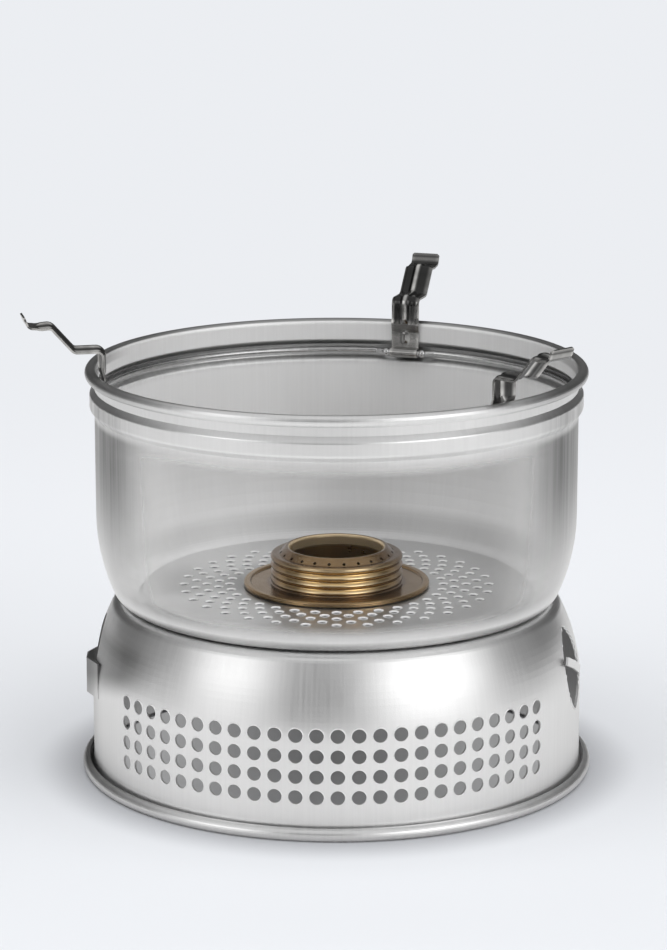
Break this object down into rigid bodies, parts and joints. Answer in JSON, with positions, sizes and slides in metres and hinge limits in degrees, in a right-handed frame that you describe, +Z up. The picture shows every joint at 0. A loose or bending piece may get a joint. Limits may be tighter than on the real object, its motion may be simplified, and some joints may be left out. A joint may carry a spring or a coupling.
{
  "type": "storm cooker",
  "caption": "Two-part aluminium storm cooker with a perforated base, a brass spirit burner in its deck and folding pot supports on a sprung wire.",
  "frame": {"origin": "on the cooker's axis, at the level of the floor that it stands on", "axes": "+Z up along the axis, -Y towards the side with the air holes, +X to the right seen from that side"},
  "size_m": [0.2426, 0.2396, 0.2019],
  "materials": {
    "lower_windshield": "satin, spun",
    "upper_windshield": "satin, spun",
    "wire": "bright drawn",
    "pot_support": "polished, darkened",
    "brass": "aged, satin",
    "brass_inside": "heat-darkened",
    "wick": "loose wadding"
  },
  "bodies": {
    "base": {"lower_windshield": "lower_windshield"},
    "upper": {"upper_windshield": "upper_windshield", "support_wire": "wire"},
    "support_back": {"pot_support_back": "pot_support"},
    "support_left": {"pot_support_left": "pot_support"},
    "support_right": {"pot_support_right": "pot_support"},
    "burner": {"burner_cup": "brass", "burner_neck": "brass", "burner_inner_wall": "brass_inside", "burner_wick": "wick"}
  },
  "joints": [
    {"name": "upper_lift", "type": "slide", "parent": "base", "child": "upper", "axis": [0, 0, 1], "range_m": [0, 0.12]},
    {"name": "burner_lift", "type": "slide", "parent": "base", "child": "burner", "axis": [0, 0, 1], "range_m": [0, 0.16]},
    {"name": "support_back_fold", "type": "hinge", "parent": "upper", "child": "support_back", "pos_m": [0.03062, 0.09425, 0.1618], "axis": [0.9511, -0.309, 0], "range_deg": [0, 182]},
    {"name": "support_left_fold", "type": "hinge", "parent": "upper", "child": "support_left", "pos_m": [-0.09694, -0.0206, 0.1618], "axis": [-0.2079, 0.9781, 0], "range_deg": [0, 182]},
    {"name": "support_right_fold", "type": "hinge", "parent": "upper", "child": "support_right", "pos_m": [0.06631, -0.07365, 0.1618], "axis": [-0.7431, -0.6691, 0], "range_deg": [0, 182]}
  ]
}
